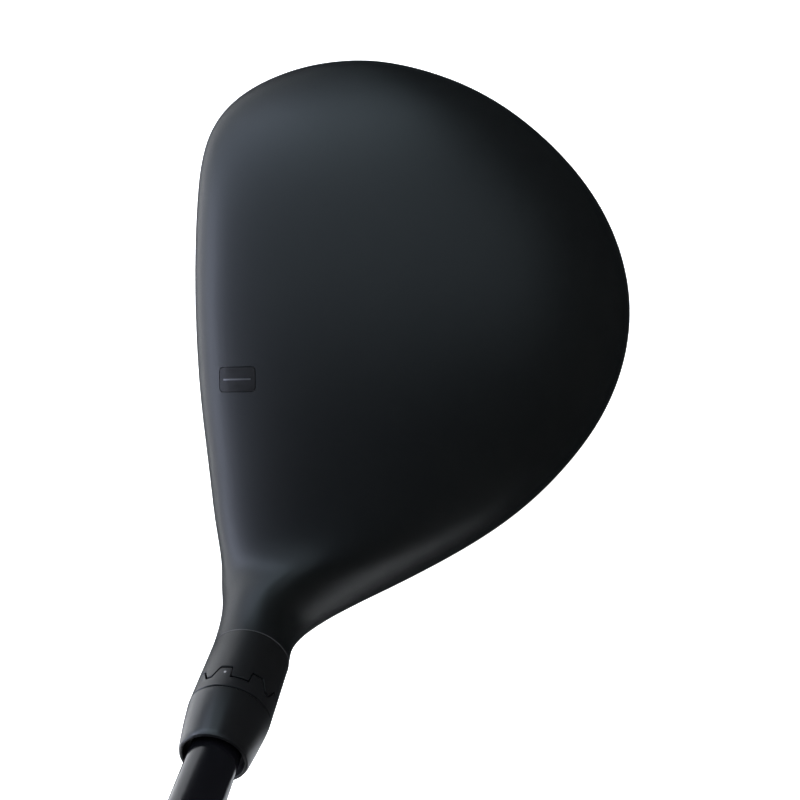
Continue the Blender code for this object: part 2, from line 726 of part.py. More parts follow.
def make_materials():
    return {
        "crown": finish_of("matte_black_paint", (0.012, 0.014, 0.016), 0.5),
        "steel_black": finish_of("black_painted_steel", (0.014, 0.015, 0.017), 0.45),
        "face": finish_of("brushed_face_steel", (0.35, 0.35, 0.36), 0.35, 1.0),
        "cover": finish_of("gloss_black_cover", (0.01, 0.01, 0.012), 0.15),
        "mark": finish_of("dark_metal_mark", (0.08, 0.085, 0.09), 0.35, 1.0),
        "badge": finish_of("satin_badge", (0.2, 0.2, 0.21), 0.4, 1.0),
        "anodised": finish_of("black_anodised", (0.02, 0.02, 0.022), 0.3, 0.6),
        "ferrule": finish_of("ferrule_plastic", (0.012, 0.012, 0.013), 0.35),
        "shaft": finish_of("gloss_black_shaft", (0.006, 0.006, 0.008), 0.1),
        "steel": finish_of("plated_steel", (0.5, 0.5, 0.5), 0.3, 1.0),
        "dense": finish_of("tungsten", (0.22, 0.21, 0.2), 0.4, 1.0),
        "nylon": finish_of("nylon", (0.03, 0.03, 0.03), 0.6),
        "tape": finish_of("grip_tape", (0.6, 0.58, 0.5), 0.8),
        "rubber": finish_of("grip_rubber", (0.02, 0.02, 0.02), 0.8),
    }


def main():
    clear_scene()
    materials = make_materials()
    shaft_axis = empty("shaft_axis", AXIS_FOOT, (0, AXIS_TILT, 0))
    head = empty("head_frame", (0, 0, 0))
    weights = [
        empty("front_weight_axis", FRONT_WEIGHT_PLACE, parent=head),
        empty("rear_weight_axis", REAR_WEIGHT_PLACE, (REAR_WEIGHT_TILT, 0, 0), parent=head),
    ]

    body = make_head(materials, head, shaft_axis, weights)
    make_face_insert(materials, body, face_frame(head))
    make_bridge_weight(materials["dense"], head)
    for name, place in zip(("front_weight", "rear_weight"), weights):
        nut_hole = make_weight(name, place, materials["dense"], materials["steel"],
                               materials["steel"])
        port = WEIGHT_RADIUS + GAP
        combine(body, cylinder(name + "_port", port, -5 * MM, WEIGHT_PORT_DEPTH, place),
                "DIFFERENCE")
        combine(body, cylinder(name + "_nut_hole", nut_hole, MM, BOSS_HEIGHT + MM, place),
                "DIFFERENCE")
    cut_hosel(body, shaft_axis)

    make_hosel_screw(shaft_axis, materials["steel"], materials["steel"], materials["nylon"])
    make_adapter_sleeve(shaft_axis, materials["anodised"])
    make_ferrule(shaft_axis, materials["ferrule"])
    make_shaft(shaft_axis, materials["shaft"])
    make_tip_plug(shaft_axis, materials["nylon"])
    make_grip(shaft_axis, materials["tape"], materials["rubber"], materials["rubber"])


main()
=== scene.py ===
import math

import bmesh
import bpy
import numpy as np
from mathutils import Matrix, Vector
from mathutils.bvhtree import BVHTree


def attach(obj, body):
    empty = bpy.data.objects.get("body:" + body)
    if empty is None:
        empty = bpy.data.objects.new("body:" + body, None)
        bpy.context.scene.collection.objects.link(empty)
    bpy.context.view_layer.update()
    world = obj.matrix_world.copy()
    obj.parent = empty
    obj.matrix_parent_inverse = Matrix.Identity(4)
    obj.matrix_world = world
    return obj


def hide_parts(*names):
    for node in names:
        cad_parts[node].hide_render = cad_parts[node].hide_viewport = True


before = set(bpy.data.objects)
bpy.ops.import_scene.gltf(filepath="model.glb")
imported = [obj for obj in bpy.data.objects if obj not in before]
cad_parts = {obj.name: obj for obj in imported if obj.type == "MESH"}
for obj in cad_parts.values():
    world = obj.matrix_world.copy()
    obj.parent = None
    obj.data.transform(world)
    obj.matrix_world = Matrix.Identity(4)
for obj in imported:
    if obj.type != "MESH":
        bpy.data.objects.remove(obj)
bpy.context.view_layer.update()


MM = 0.001

# ---- Dimensions, in millimetres unless the name says otherwise ----------------------------------
LIE = math.radians(57.5)
LOFT = math.radians(15.0)
AXIS_FOOT = Vector((39.7, -26.65, 0.0))
AXIS = Vector((math.cos(LIE), 0.0, math.sin(LIE)))
AXIS_FRAME = Matrix.Translation(AXIS_FOOT) @ Matrix.Rotation(math.pi / 2 - LIE, 4, "Y")

HOSEL_RADIUS = 7.15
TUBE_START = 46.5
HOSEL_TOP = 57.0
BORE_RADIUS = 5.9
TEETH = 8
TOOTH_HEIGHT = 1.9
TOOTH_PHASE = math.radians(3.0)
# Where a tooth starts and ends and how far its two sides spread, in degrees about the axis.
TOOTH_FOOT = -9.0
TOOTH_FAR_FOOT = 17.5
TOOTH_UPRIGHT_SPAN = 1.5
TOOTH_SLOPE_SPAN = 9.5
FLANGE_UNDER = 57.3
FLANGE_TOP = 59.2
SLEEVE_RADIUS = 5.6
SLEEVE_BOTTOM = 24.6
FERRULE_TOP = 68.0
FERRULE_TOP_RADIUS = 5.9
FERRULE_CURVE = 1.25  # above 1, the ferrule narrows more towards its top
SHAFT_TIP = 31.0
SHAFT_TIP_RADIUS = 4.25
SHAFT_TAPER = (110.0, 900.0)
SHAFT_BUTT_RADIUS = 7.6
SHAFT_WALL = 1.1
SHAFT_BUTT = 1085.0
GRIP_MOUTH = 822.0
GRIP_MOUTH_RADIUS = 10.2
GRIP_END = 1086.0
GRIP_END_RADIUS = 13.4
CLUB_LENGTH = 1092.0
CAP_RADIUS = 14.0
CAP_ROUNDING = 2.2
GRIP_LIP_HEIGHT = 2.5
GRIP_LIP_DEPTH = 1.4
GROOVE_DEPTH = 0.42
GROOVE_WIDTH = 0.30  # height of the pattern's wave, from 0 to 1, below which it is a groove
GROOVE_TWIST = 4.4  # mm along the grip for each radian of the pattern's wave
BAND_LENGTH = 88.0  # from one plain band to the next
BAND_SHARE = 0.06  # squared sine of the place in a length, up to which the grip is plain
MOUTH_PLAIN = 12.0
END_PLAIN = 10.0

HEAD_SIDES = 168
HEAD_SECTIONS = 132
ROUND_SIDES = 120

# The head's sections, at stations from the toe's tip (0) to the hosel's top (12). The stations are the
# part's, and so are the numbers, but for REACH_BACK near the heel.
FRONT_VIEW_TOP = [
    (-52.5, 18.0), (-52.0, 24.6), (-47.6, 29.8), (-37.7, 34.6), (-22.0, 38.3), (-3.0, 39.6),
    (15.0, 38.7), (29.0, 36.3), (40.3, 33.9), (47.3, 34.3), (52.0, 37.4),
]
FRONT_VIEW_BOTTOM = [
    (-52.5, 18.0), (-52.0, 12.0), (-47.6, 6.5), (-37.7, 2.2), (-22.0, 0.2), (-3.0, -0.25),
    (15.0, 0.1), (30.0, 0.9), (44.0, 2.9), (57.0, 11.6), (64.8, 25.0),
]
CENTRE_Y = [-13.5, -13.0, -11, -9, -8, -8, -9, -11.5, -15, -20, -24.6, -26.65, -26.65]
CENTRE_HEIGHT = [0.5, 0.45, 0.42, 0.41, 0.40, 0.40, 0.40, 0.41, 0.43, 0.46, 0.49, 0.5, 0.5]
REACH_BACK = [0, 8.6, 21.6, 34.2, 45.7, 51.2, 49.0, 42.3, 31.7, 17.1, 6.4, 7.15, 7.15]
REACH_FRONT = [0, 9.6, 30.2, 45.3, 49.6, 49.3, 46.4, 40.6, 32.6, 19.8, 10.2, 7.15, 7.15]
FACE_CUT = [1.33, 1.33, 1.33, 1.33, 1.33, 1.33, 1.33, 1.32, 1.27, 1.1, 0.75, 0.3, 0.0]
ROUNDNESS_TOP = [2.1, 2.15, 2.2, 2.25, 2.3, 2.3, 2.3, 2.3, 2.25, 2.15, 2.05, 2, 2]
ROUNDNESS_BOTTOM = [2.1, 2.3, 2.5, 2.6, 2.7, 2.7, 2.7, 2.6, 2.5, 2.3, 2.1, 2, 2]
EDGE_SHARPNESS = 16
NECK_STATION = 11.0  # where the neck meets the round hosel tube
TINY = 1e-6

# Pieces let into the head.
FACE_MIDDLE = (-6.0, -45.2, 18.5)
FACE_HALF_SIZE = (35, 11.2)
FACE_POWER = 2.8
FACE_CLEAR = 9.0  # half the width of the plain middle, which the score lines leave free
SCORE_PITCH = 2.6
SCORE_MARGIN = 1.5
MARK_MIDDLE = (13.6, -30.9)
SIGHT_REACH = 2.9
WEIGHT_PLACES = {
    "front_weight": Matrix.Translation((-3.0, -30.5, 0.3)),
    "rear_weight": Matrix.Translation((-3.0, 29.0, 2.4)) @ Matrix.Rotation(math.radians(14), 4, "X"),
}
WEIGHT_RADIUS = 6.0
DIMPLES = 12


# ---- Mesh tools ---------------------------------------------------------------------------------
def skin_mesh(name, rings, loop=False):
    """Quads between neighbouring rings of points (mm). A ring of one point is a tip."""
    bm = bmesh.new()
    rows = [[bm.verts.new(Vector(point) * MM) for point in ring] for ring in rings]
    pairs = list(zip(rows, rows[1:]))
    if loop:
        pairs.append((rows[-1], rows[0]))
    for first, second in pairs:
        count = max(len(first), len(second))
        for i in range(count):
            j = (i + 1) % count
            if len(first) == 1:
                bm.faces.new((first[0], second[j], second[i]))
            elif len(second) == 1:
                bm.faces.new((first[i], first[j], second[0]))
            else:
                bm.faces.new((first[i], first[j], second[j], second[i]))
    if not loop:
        for end in (rows[0], rows[-1]):
            if len(end) > 1:
                bm.faces.new(end)
    bmesh.ops.recalc_face_normals(bm, faces=bm.faces)
    mesh = bpy.data.meshes.new(name)
    bm.to_mesh(mesh)
    bm.free()
    return mesh


def open_skin(name, rings):
    """A bowl: a skin from a tip to an open rim."""
    mesh = skin_mesh(name, rings)
    bm = bmesh.new()
    bm.from_mesh(mesh)
    bm.faces.ensure_lookup_table()
    lids = [f for f in bm.faces if len(f.verts) > 4]
    bmesh.ops.delete(bm, geom=lids, context="FACES_ONLY")
    bm.to_mesh(mesh)
    bm.free()
    return mesh


def joined(name, meshes):
    bm = bmesh.new()
    for mesh in meshes:
        bm.from_mesh(mesh)
    whole = bpy.data.meshes.new(name)
    bm.to_mesh(whole)
    bm.free()
    return whole


def moved(mesh, matrix_mm):
    """A mesh moved by a matrix whose translation is in millimetres."""
    matrix = matrix_mm.copy()
    matrix.translation = matrix.translation * MM
    mesh.transform(matrix)
    return mesh


def add(name, mesh, material=None, body=None, replaces=(), sharp=35):
    mesh.shade_smooth()
    mesh.set_sharp_from_angle(angle=math.radians(sharp))
    thing = bpy.data.objects.new(name, mesh)
    bpy.context.scene.collection.objects.link(thing)
    if material:
        mesh.materials.clear()
        mesh.materials.append(material)
    if body:
        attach(thing, body)
    if replaces:
        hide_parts(*replaces)
    return thing


def carve(mesh, cutter_mesh):
    """The mesh with the cutter taken away, as a new mesh."""
    thing = bpy.data.objects.new("carve", mesh)
    other = bpy.data.objects.new("carve_cutter", cutter_mesh)
    for o in (thing, other):
        bpy.context.scene.collection.objects.link(o)
    modifier = thing.modifiers.new("Cut", "BOOLEAN")
    modifier.operation = "DIFFERENCE"
    modifier.object = other
    modifier.solver = "EXACT"
    graph = bpy.context.evaluated_depsgraph_get()
    result = bpy.data.meshes.new_from_object(thing.evaluated_get(graph))
    for o in (thing, other):
        bpy.data.objects.remove(o, do_unlink=True)
    return result


def ring(radius, height, sides):
    turns = np.arange(sides) * 2 * math.pi / sides
    return np.stack([radius * np.cos(turns), radius * np.sin(turns), np.full(sides, height)], axis=1)


def turned(name, profile, sides=ROUND_SIDES, loop=False, place=AXIS_FRAME):
    """A solid turned about a place's Z from (radius, height) points."""
    rings = [ring(r, z, sides) if r > 0 else [(0.0, 0.0, z)] for r, z in profile]
    return moved(skin_mesh(name, rings, loop), place)


def superellipse(centre, half_x, half_y, power, sides):
    angles = np.arange(sides) * 2 * math.pi / sides
    c, s = np.cos(angles), np.sin(angles)
    x = centre[0] + half_x * np.sign(c) * np.abs(c) ** (2 / power)
    y = centre[1] + half_y * np.sign(s) * np.abs(s) ** (2 / power)
    return np.stack([x, y], axis=1)


def grown(outline, distance):
    along = np.roll(outline, -1, axis=0) - np.roll(outline, 1, axis=0)
    along /= np.linalg.norm(along, axis=1)[:, None]
    across = np.stack([along[:, 1], -along[:, 0]], axis=1)
    outwards = np.sign(np.sum(across * (outline - outline.mean(axis=0))))
    return outline + distance * outwards * across


# ---- The head's form ----------------------------------------------------------------------------
def spline(values, flat_start=False):
    values = np.asarray(values, float)
    last = len(values) - 1
    matrix = np.eye(last + 1)
    right = np.zeros(last + 1)
    for i in range(1, last):
        matrix[i, i - 1 : i + 2] = (1, 4, 1)
        right[i] = 6 * (values[i + 1] - 2 * values[i] + values[i - 1])
    if flat_start:
        matrix[0, :2] = (2, 1)
        right[0] = 6 * (values[1] - values[0])
    bend = np.linalg.solve(matrix, right)

    def value(station):
        i = np.clip(np.floor(station).astype(int), 0, last - 1)
        t = station - i
        s = 1 - t
        return (
            s * values[i] + t * values[i + 1]
            + (s**3 - s) * bend[i] / 6 + (t**3 - t) * bend[i + 1] / 6
        )

    return value


def front_view(points, side):
    across = Vector((-math.sin(LIE), 0.0, math.cos(LIE))) * HOSEL_RADIUS * side
    tube = [AXIS_FOOT + AXIS * height + across for height in (TUBE_START, HOSEL_TOP)]
    points = points + [(p.x, p.z) for p in tube]
    return [spline([p[k] for p in points], flat_start=True) for k in (0, 1)]


TOP_X, TOP_Z = front_view(FRONT_VIEW_TOP, 1)
BOTTOM_X, BOTTOM_Z = front_view(FRONT_VIEW_BOTTOM, -1)
SECTION = {
    "centre": spline(CENTRE_Y),
    "height": spline(CENTRE_HEIGHT),
    "back": spline(REACH_BACK),
    "front": spline(REACH_FRONT),
    "face": spline(FACE_CUT),
    "top": spline(ROUNDNESS_TOP),
    "bottom": spline(ROUNDNESS_BOTTOM),
}


def head_points(stations, angles):
    """Points of the head's surface, in mm, for each station and angle."""
    stations = np.asarray(stations, float)
    top = np.stack([TOP_X(stations), TOP_Z(stations)])
    bottom = np.stack([BOTTOM_X(stations), BOTTOM_Z(stations)])
    number = {name: value(stations)[:, None] for name, value in SECTION.items()}
    height = np.maximum(np.hypot(*(top - bottom)), TINY)
    upright = ((top - bottom) / height)[:, :, None]
    middle = (bottom + (top - bottom) * number["height"][:, 0])[:, :, None]

    cos, sin = np.cos(angles)[None, :], np.sin(angles)[None, :]
    wide = np.maximum(np.where(cos > 0, number["back"], number["front"]), TINY)
    above = height[:, None] * (1 - number["height"])
    below = height[:, None] * number["height"]
    tall = np.maximum(np.where(sin > 0, above, below), TINY)
    spread = np.hypot(wide * cos, tall * sin)
    cos, sin = wide * cos / spread, tall * sin / spread

    power = np.where(sin > 0, number["top"], number["bottom"])
    reach = (np.abs(cos / wide) ** power + np.abs(sin / tall) ** power) ** (-1 / power)
    towards_face = np.maximum(sin * math.sin(LOFT) - cos * math.cos(LOFT), 0)
    face = towards_face * number["face"] / np.maximum(number["front"], TINY)
    reach = (reach**-EDGE_SHARPNESS + face**EDGE_SHARPNESS) ** (-1 / EDGE_SHARPNESS)

    x = middle[0] + reach * sin * upright[0]
    y = number["centre"] + reach * cos
    z = middle[1] + reach * sin * upright[1]
    z = np.maximum(z, 0.0)
    return np.stack([x, y, z], axis=-1)


def head_rings():
    spaced = np.linspace(0, 1, HEAD_SECTIONS + 1)[1:]
    stations = NECK_STATION * spaced ** 1.15
    angles = np.arange(HEAD_SIDES) * 2 * math.pi / HEAD_SIDES
    tip = (FRONT_VIEW_TOP[0][0], CENTRE_Y[0], FRONT_VIEW_TOP[0][1])
    return [[tip]] + list(head_points(stations, angles))


# ---- Pieces let into the head's surface ---------------------------------------------------------
class Side:
    """A side of the head seen square on: its X and Y across the view, its Z towards the viewer."""

    def __init__(self, tree, origin, across, up):
        self.tree = tree
        self.origin = Vector(origin)
        self.across, self.up = Vector(across).normalized(), Vector(up).normalized()
        self.out = self.across.cross(self.up)

    def point(self, x, y, lift):
        """The surface point behind (x, y), lifted off the surface along its normal."""
        start = self.origin + self.across * x + self.up * y + self.out * 60
        place, normal, _, _ = self.tree.ray_cast(start * MM, -self.out)
        if place is None:
            raise ValueError("no surface behind this point")
        if normal.dot(self.out) < 0:
            normal = -normal
        return place / MM + normal * lift


def patch(name, side, outline, lift, depth, rings=8, bevel=0.0):
    """A solid that follows the head's surface inside an outline, from a depth below the surface
    to a lift above it."""
    middle = outline.mean(axis=0)
    shares = [(i + 1) / rings for i in range(rings)]
    skins = [[side.point(*middle, lift)]]
    for share in shares:
        skins.append([side.point(*p, lift) for p in middle + (outline - middle) * share])
    if bevel:
        inner = grown(outline, -bevel)
        skins[-1] = [side.point(*p, lift) for p in inner]
        skins.append([side.point(*p, lift - bevel) for p in outline])
    for share in reversed(shares):
        skins.append([side.point(*p, -depth) for p in middle + (outline - middle) * share])
    skins.append([side.point(*middle, -depth)])
    return skin_mesh(name, skins)


def trench(name, side, path, width, lift, depth):
    """A bar that follows a path on the head's surface, for a groove or an inlaid line."""
    path = np.asarray(path, float)
    along = np.gradient(path, axis=0)
    along /= np.linalg.norm(along, axis=1)[:, None]
    across = np.stack([along[:, 1], -along[:, 0]], axis=1) * width / 2
    bars = []
    for p, a in zip(path, across):
        corners = ((p + a, lift), (p - a, lift), (p - a, -depth), (p + a, -depth))
        bars.append([side.point(*xy, height) for xy, height in corners])
    return skin_mesh(name, bars)


# ---- Materials ----------------------------------------------------------------------------------
def finish(name, colour, second, roughness, metallic=0.0, grain=900.0, bump=0.05, stretch=(1, 1, 1),
           coat=0.0, specular=0.5, patch_size=60.0):
    """A Principled material. Broad noise in the piece's own coordinates varies its colour between
    two values. Fine noise varies its roughness between two values and gives a slight relief. The
    fine noise is drawn out along an axis where its stretch is below 1, as brushing is."""
    material = bpy.data.materials.new(name)
    material.use_nodes = True
    tree = material.node_tree
    shader = tree.nodes["Principled BSDF"]
    shader.inputs["Metallic"].default_value = metallic
    shader.inputs["Coat Weight"].default_value = coat
    shader.inputs["Coat Roughness"].default_value = 0.1
    shader.inputs["Specular IOR Level"].default_value = specular

    where = tree.nodes.new("ShaderNodeTexCoord")
    mapping = tree.nodes.new("ShaderNodeMapping")
    mapping.inputs["Scale"].default_value = stretch
    tree.links.new(where.outputs["Object"], mapping.inputs["Vector"])

    broad = tree.nodes.new("ShaderNodeTexNoise")
    broad.inputs["Scale"].default_value = patch_size
    broad.inputs["Detail"].default_value = 3.0
    tree.links.new(where.outputs["Object"], broad.inputs["Vector"])
    mix = tree.nodes.new("ShaderNodeMix")
    mix.data_type = "RGBA"
    mix.inputs["A"].default_value = (*colour, 1.0)
    mix.inputs["B"].default_value = (*second, 1.0)
    tree.links.new(broad.outputs["Fac"], mix.inputs["Factor"])
    tree.links.new(mix.outputs["Result"], shader.inputs["Base Color"])

    fine = tree.nodes.new("ShaderNodeTexNoise")
    fine.inputs["Scale"].default_value = grain
    fine.inputs["Detail"].default_value = 4.0
    tree.links.new(mapping.outputs["Vector"], fine.inputs["Vector"])
    spread = tree.nodes.new("ShaderNodeMapRange")
    spread.inputs["From Min"].default_value = 0.3
    spread.inputs["From Max"].default_value = 0.7
    spread.inputs["To Min"].default_value = roughness[0]
    spread.inputs["To Max"].default_value = roughness[1]
    tree.links.new(fine.outputs["Fac"], spread.inputs["Value"])
    tree.links.new(spread.outputs["Result"], shader.inputs["Roughness"])
    relief = tree.nodes.new("ShaderNodeBump")
    relief.inputs["Strength"].default_value = bump
    relief.inputs["Distance"].default_value = 0.0001
    tree.links.new(fine.outputs["Fac"], relief.inputs["Height"])
    tree.links.new(relief.outputs["Normal"], shader.inputs["Normal"])
    return material


def make_materials():
    return {
        "paint": finish("matte_black_paint", (0.002, 0.0024, 0.0028), (0.003, 0.0035, 0.0036),
                        (0.40, 0.46), grain=2600, bump=0.04, specular=0.42),
        "tube": finish("satin_black_hosel", (0.003, 0.003, 0.0035), (0.004, 0.004, 0.0042),
                       (0.36, 0.42), grain=2600, bump=0.03, specular=0.45),
        "sleeve": finish("black_anodised", (0.003, 0.003, 0.0036), (0.005, 0.005, 0.0058),
                         (0.34, 0.42), grain=3000, bump=0.05, specular=0.45),
        "ferrule": finish("ferrule_plastic", (0.003, 0.003, 0.0036), (0.004, 0.004, 0.0045),
                          (0.30, 0.36), grain=2000, bump=0.03),
        "shaft": finish("gloss_black_shaft", (0.002, 0.002, 0.0028), (0.003, 0.003, 0.004),
                        (0.14, 0.20), grain=1500, bump=0.01, specular=0.34),
        # Edge ring at the hosel: its lighter, metallic colour is a painted highlight, standing in for
        # the light line along that ridge.
        "rim": finish("edge_painted_highlight", (0.06, 0.06, 0.066), (0.09, 0.09, 0.096), (0.3, 0.4), metallic=0.6),
        "mark": finish("dark_metal_mark", (0.018, 0.018, 0.019), (0.035, 0.034, 0.034), (0.30, 0.42),
                       metallic=0.8, grain=1800, bump=0.15, stretch=(1, 0.05, 1)),
        "mark_light": finish("bright_metal_mark", (0.12, 0.12, 0.125), (0.18, 0.18, 0.19),
                             (0.28, 0.38), metallic=0.9, grain=1800, bump=0.1),
        "face": finish("brushed_face_steel", (0.22, 0.22, 0.23), (0.30, 0.30, 0.31), (0.30, 0.42),
                       metallic=1.0, grain=1400, bump=0.25, stretch=(0.04, 1, 1)),
        "cover": finish("gloss_black_cover", (0.008, 0.008, 0.009), (0.012, 0.012, 0.013),
                        (0.10, 0.16), grain=1200, bump=0.02, coat=0.5),
        "badge": finish("satin_badge", (0.20, 0.20, 0.21), (0.28, 0.28, 0.29), (0.32, 0.42),
                        metallic=1.0, grain=1500, bump=0.2, stretch=(1, 0.05, 1)),
        "tungsten": finish("tungsten", (0.20, 0.19, 0.18), (0.28, 0.27, 0.26), (0.34, 0.46),
                           metallic=1.0, grain=1600, bump=0.2),
        "steel": finish("plated_steel", (0.42, 0.42, 0.43), (0.52, 0.52, 0.52), (0.22, 0.34),
                        metallic=1.0, grain=1500, bump=0.1),
        "nylon": finish("nylon", (0.03, 0.03, 0.03), (0.04, 0.04, 0.04), (0.5, 0.6)),
        "dot": finish("index_dot", (0.16, 0.16, 0.17), (0.2, 0.2, 0.21), (0.4, 0.5)),
        "rubber": finish("grip_rubber", (0.014, 0.014, 0.014), (0.022, 0.022, 0.022), (0.62, 0.78),
                         grain=1400, bump=0.5, patch_size=120.0),
        "tape": finish("grip_tape", (0.55, 0.53, 0.46), (0.62, 0.6, 0.52), (0.7, 0.85), bump=0.3),
        "floor": finish("pale_floor", (0.86, 0.86, 0.86), (0.88, 0.88, 0.88), (0.7, 0.8),
                        grain=40.0, bump=0.0, patch_size=2.0, specular=0.2),
        "heel_card": finish("heel_card", (0.86, 0.86, 0.86), (0.88, 0.88, 0.88), (0.7, 0.8),
                            grain=40.0, bump=0.0, patch_size=2.0, specular=0.2),
    }


# ---- Head ---------------------------------------------------------------------------------------
def make_head(materials):
    rings = head_rings()
    form = skin_mesh("head_shell", rings)
    tree = BVHTree.FromPolygons([v.co[:] for v in form.vertices],
                                [p.vertices[:] for p in form.polygons])
    crown = Side(tree, (0, 0, 0), (1, 0, 0), (0, 1, 0))
    sole = Side(tree, (0, 0, 0), (1, 0, 0), (0, -1, 0))
    face = Side(tree, FACE_MIDDLE, (1, 0, 0), (0, math.sin(LOFT), math.cos(LOFT)))

    mark_outline = superellipse(MARK_MIDDLE, 2.3, 3.75, 9, 64)
    cover_outline = superellipse((-2, -12.5), 31, 7, 4, 144)
    badge_outline = superellipse((-27, 12), 6, 4, 2.5, 64)
    face_outline = superellipse((0, 0), *FACE_HALF_SIZE, FACE_POWER, 160)

    cutters = [
        patch("mark_pocket", crown, grown(mark_outline, 0.12), 1.0, 0.4),
        patch("cover_pocket", sole, grown(cover_outline, 0.15), 1.5, 0.8),
        patch("badge_pocket", sole, grown(badge_outline, 0.12), 1.0, 0.4),
        patch("face_pocket", face, grown(face_outline, 0.15), 1.5, 0.9),
        turned("hosel_bore", [(0, -20), (5.2, -20), (5.2, 18.9), (2.8, 18.9), (2.8, 22.0),
                              (BORE_RADIUS, 22.0), (BORE_RADIUS, 60.0), (0, 60.0)]),
    ]
    for name, place in WEIGHT_PLACES.items():
        port = WEIGHT_RADIUS + 0.3
        stepped = [(0, -6), (port, -6), (port, 4.0), (3.5, 4.0), (3.5, 9.8), (0, 9.8)]
        cutters.append(turned(name + "_port", stepped, place=place))
    shell = carve(form, joined("head_cutters", cutters))
    add("head_shell", shell, materials["paint"], "head", ("head_body", "crown_panel"),
        sharp=40)

    add("sole_cover", patch("sole_cover", sole, cover_outline, 0.0, 0.7, bevel=0.12),
        materials["cover"], "head", ("sole_panel",))
    add("badge_plate", patch("badge_plate", sole, badge_outline, 0.0, 0.3, bevel=0.08),
        materials["badge"], "head", ("sole_badge",))
    make_mark(crown, mark_outline, materials)
    make_face(face, face_outline, materials)
    for name, place in WEIGHT_PLACES.items():
        make_weight(name, place, materials)


def make_mark(crown, outline, materials):
    """A plain alignment mark: a brushed plate with one straight sight line, square to the face."""
    add("mark_plate", patch("mark_plate", crown, outline, 0.02, 0.35, bevel=0.05),
        materials["mark"], "head", ("crown_mark",))
    path = [(MARK_MIDDLE[0], MARK_MIDDLE[1] + SIGHT_REACH * t) for t in np.linspace(-1, 1, 16)]
    add("mark_lines", trench("mark_lines", crown, path, 0.3, 0.09, 0.1), materials["mark_light"],
        "head", ())


def make_face(face, outline, materials):
    plate = patch("face_plate", face, outline, 0.0, 0.8, rings=12, bevel=0.1)
    grooves = []
    for k in range(-3, 4):
        y = k * SCORE_PITCH
        reach = 33.0 * (1 - (abs(y) / 11.4) ** FACE_POWER) ** (1 / FACE_POWER) - SCORE_MARGIN
        for start, end in ((-reach, -FACE_CLEAR), (FACE_CLEAR, reach)):
            path = [(x, y) for x in np.linspace(start, end, 24)]
            grooves.append(trench("score", face, path, 0.5, 0.6, 0.28))
    plate = carve(plate, joined("score_lines", grooves))
    add("face_plate", plate, materials["face"], "head", ("face_insert",))


def hexagon(name, across_flats, low, high, place):
    radius = across_flats / math.sqrt(3)
    return moved(skin_mesh(name, [ring(radius, z, 6) for z in (low, high)]), place)


def make_weight(name, place, materials):
    """A disc with dimples round its face, and the bolt that holds it in its port."""
    top, edge = 3.7, WEIGHT_RADIUS
    profile = [(2.2, 2.2), (3.65, 2.2), (3.8, 2.0), (3.8, 0.45), (3.95, 0.3), (edge - 0.4, 0.3),
               (edge - 0.15, 0.4), (edge - 0.02, 0.65), (edge, 0.9), (edge, top - 0.2),
               (edge - 0.2, top), (2.2, top)]
    disc = turned(name + "_disc", profile, loop=True, place=place)
    notches = []
    for i in range(DIMPLES):
        turn = Matrix.Rotation(i * 2 * math.pi / DIMPLES, 4, "Z") @ Matrix.Translation((4.9, 0, 0))
        notches.append(turned(name + "_dimple", [(0, -0.3), (0.42, -0.3), (0.42, 0.55), (0, 0.7)], 24,
                              place=place @ turn))
    disc = carve(disc, joined(name + "_dimples", notches))
    add(name + "_disc", disc, materials["tungsten"], name, (name,))

    screw = [(0, 0.5), (2.9, 0.5), (3.2, 0.6), (3.38, 0.85), (3.4, 1.1), (3.4, 1.9), (1.8, 1.9),
             (1.8, 7.9), (1.5, 8.2), (0, 8.2)]
    body = turned(name + "_bolt", screw, 96, place=place)
    body = carve(body, hexagon(name + "_socket", 2.5, -1, 1.3, place))
    add(name + "_bolt", body, materials["steel"], name + "_screw", (name + "_screw",))


# ---- Hosel, sleeve, ferrule ---------------------------------------------------------------------
def tooth_height(angle, clearance=0.0):
    """Share of the full tooth height at an angle. Each tooth has one upright side and one sloped
    side, and neighbouring teeth are mirrored."""
    pitch = 2 * math.pi / TEETH
    index = round((angle - TOOTH_PHASE) / pitch)
    offset = math.degrees(angle - TOOTH_PHASE - index * pitch)
    if index % 2:
        offset = -offset
    edge = math.degrees(clearance)
    rise = (offset - TOOTH_FOOT + edge) / TOOTH_UPRIGHT_SPAN
    fall = (TOOTH_FAR_FOOT + edge - offset) / TOOTH_SLOPE_SPAN
    return min(max(min(rise, fall), 0.0), 1.0)


def toothed(name, profile, clearance=0.0, sides=480):
    """A turned ring. Each profile point gives radius, height and how far it drops with the teeth."""
    turns = np.arange(sides) * 2 * math.pi / sides
    share = np.array([tooth_height(a, clearance) for a in turns])
    rings = []
    for radius, height, drop in profile:
        z = height - TOOTH_HEIGHT * share * drop
        rings.append(np.stack([radius * np.cos(turns), radius * np.sin(turns), z], axis=1))
    return moved(skin_mesh(name, rings, loop=True), AXIS_FRAME)


